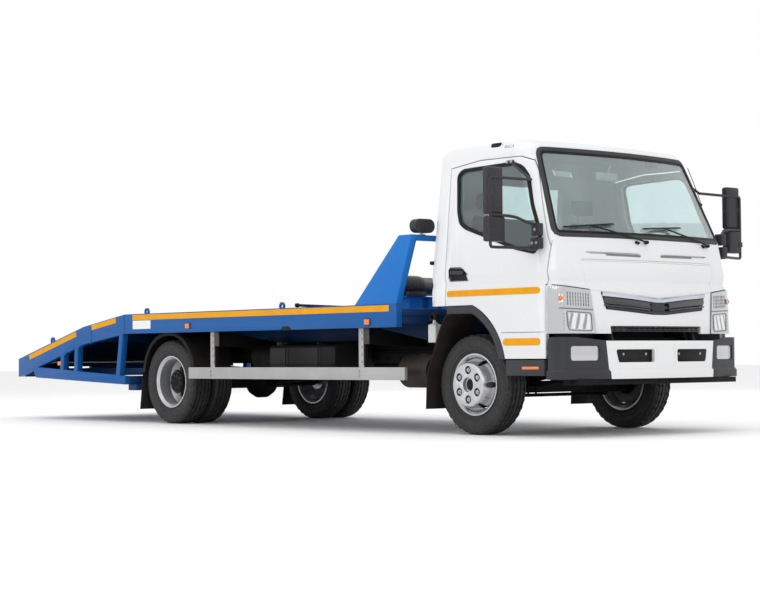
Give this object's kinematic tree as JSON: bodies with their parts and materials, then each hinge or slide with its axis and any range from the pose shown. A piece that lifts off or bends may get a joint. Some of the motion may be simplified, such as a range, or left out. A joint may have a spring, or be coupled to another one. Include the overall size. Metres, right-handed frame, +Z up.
{
  "type": "flatbed tow truck",
  "caption": "Cab-over flatbed tow truck with twin rear wheels, a car deck whose tail slopes to the ground, headboard, winch and stored loading ramps.",
  "frame": {"origin": "on the ground, under the middle of the truck's length and width", "axes": "+X points forward, +Y to the truck's left, +Z up"},
  "size_m": [7.5499, 2.886, 2.2679],
  "materials": {
    "chassis_paint": "semi-gloss black paint",
    "deck_paint": "gloss blue paint",
    "deck_plate": "blue paint on chequer plate",
    "cab_paint": "gloss white paint",
    "trim_plastic": "grained dark plastic",
    "glazing": "lightly tinted",
    "lamp_lens": "clear lens",
    "marker_lens": "orange and red lens",
    "tank_metal": "black paint",
    "guard_metal": "mill finish",
    "rim_metal": "silver paint",
    "tyre_rubber": "black rubber",
    "drum_metal": "galvanised",
    "ramp_metal": "blue paint",
    "seat_fabric": "woven cloth",
    "bottle_plastic": "translucent"
  },
  "bodies": {
    "chassis": {"battery_box": "chassis_paint", "bumper_centre": "cab_paint", "bumper_ends": "trim_plastic", "chassis_frame": "chassis_paint", "coolant_bottle": "bottle_plastic", "deck_cross_beams": "deck_paint", "deck_frame": "deck_paint", "deck_plates": "deck_plate", "deck_sides": "deck_paint", "engine_block": "chassis_paint", "fog_lamps": "lamp_lens", "front_axle": "chassis_paint", "front_mudguards": "trim_plastic", "front_underrun": "chassis_paint", "fuel_tank": "tank_metal", "headboard": "deck_paint", "lashing_rings": "deck_paint", "leaf_springs": "chassis_paint", "marker_lamps": "marker_lens", "muffler": "chassis_paint", "propshaft": "chassis_paint", "radiator": "chassis_paint", "ramp_tray": "deck_paint", "rear_axle": "chassis_paint", "rear_mudguards": "trim_plastic", "side_guards": "guard_metal", "step_panels": "trim_plastic", "winch_housing": "trim_plastic", "work_lamp": "trim_plastic"},
    "cab": {"cab_shell": "cab_paint", "cab_floor": "trim_plastic", "front_panel": "cab_paint", "hood_panel": "cab_paint", "grille": "trim_plastic", "cab_glass": "glazing", "headlamps": "lamp_lens", "dashboard": "trim_plastic", "seats": "seat_fabric", "roof_lamps": "lamp_lens", "arch_trims": "trim_plastic"},
    "door_right": {"door_right": "cab_paint", "door_glass_right": "glazing", "mirrors_right": "trim_plastic"},
    "door_left": {"door_left": "cab_paint", "door_glass_left": "glazing", "mirrors_left": "trim_plastic"},
    "knuckle_right": {"knuckle_right": "chassis_paint"},
    "knuckle_left": {"knuckle_left": "chassis_paint"},
    "wheel_front_right": {"tyre_front_right": "tyre_rubber", "rim_front_right": "rim_metal"},
    "wheel_front_left": {"tyre_front_left": "tyre_rubber", "rim_front_left": "rim_metal"},
    "wheels_rear_right": {"tyres_rear_right": "tyre_rubber", "rims_rear_right": "rim_metal"},
    "wheels_rear_left": {"tyres_rear_left": "tyre_rubber", "rims_rear_left": "rim_metal"},
    "tie_rod": {"tie_rod": "chassis_paint"},
    "ramp_right": {"ramp_right": "ramp_metal"},
    "ramp_left": {"ramp_left": "ramp_metal"},
    "winch_drum": {"winch_drum": "drum_metal"}
  },
  "joints": [
    {"name": "cab_tilt", "type": "hinge", "parent": "chassis", "child": "cab", "pos_m": [3.66, 0, 0.65], "axis": [0, 1, 0], "range_deg": [0, 45]},
    {"name": "door_right_swing", "type": "hinge", "parent": "cab", "child": "door_right", "pos_m": [3.485, -1.04, 1.2], "axis": [0, 0, 1], "range_deg": [0, 70]},
    {"name": "door_left_swing", "type": "hinge", "parent": "cab", "child": "door_left", "pos_m": [3.485, 1.04, 1.2], "axis": [0, 0, 1], "range_deg": [-70, 0]},
    {"name": "steer_right", "type": "hinge", "parent": "chassis", "child": "knuckle_right", "pos_m": [2.655, -0.78, 0.382], "axis": [0, 0, 1], "range_deg": [-35, 35]},
    {"name": "steer_left", "type": "hinge", "parent": "chassis", "child": "knuckle_left", "pos_m": [2.655, 0.78, 0.382], "axis": [0, 0, 1], "range_deg": [-35, 35]},
    {"name": "tie_rod_turn", "type": "hinge", "parent": "knuckle_right", "child": "tie_rod", "pos_m": [2.495, -0.722, 0.3], "axis": [0, 0, 1], "range_deg": [-40, 40]},
    {"name": "wheel_front_right_spin", "type": "hinge", "parent": "knuckle_right", "child": "wheel_front_right", "pos_m": [2.655, -0.835, 0.382], "axis": [0, 1, 0], "continuous": true},
    {"name": "wheel_front_left_spin", "type": "hinge", "parent": "knuckle_left", "child": "wheel_front_left", "pos_m": [2.655, 0.835, 0.382], "axis": [0, 1, 0], "continuous": true},
    {"name": "wheels_rear_right_spin", "type": "hinge", "parent": "chassis", "child": "wheels_rear_right", "pos_m": [-1.215, -0.83, 0.382], "axis": [0, 1, 0], "continuous": true},
    {"name": "wheels_rear_left_spin", "type": "hinge", "parent": "chassis", "child": "wheels_rear_left", "pos_m": [-1.215, 0.83, 0.382], "axis": [0, 1, 0], "continuous": true},
    {"name": "ramp_right_slide", "type": "slide", "parent": "chassis", "child": "ramp_right", "axis": [-1, 0, 0], "range_m": [0, 1.2]},
    {"name": "ramp_left_slide", "type": "slide", "parent": "chassis", "child": "ramp_left", "axis": [-1, 0, 0], "range_m": [0, 1.2]},
    {"name": "winch_drum_spin", "type": "hinge", "parent": "chassis", "child": "winch_drum", "pos_m": [1.225, 0, 1.19], "axis": [0, 1, 0], "continuous": true}
  ],
  "couplings": [
    {"joint": "steer_left", "follows": "steer_right", "ratio": 1},
    {"joint": "tie_rod_turn", "follows": "steer_right", "ratio": -1.1}
  ]
}
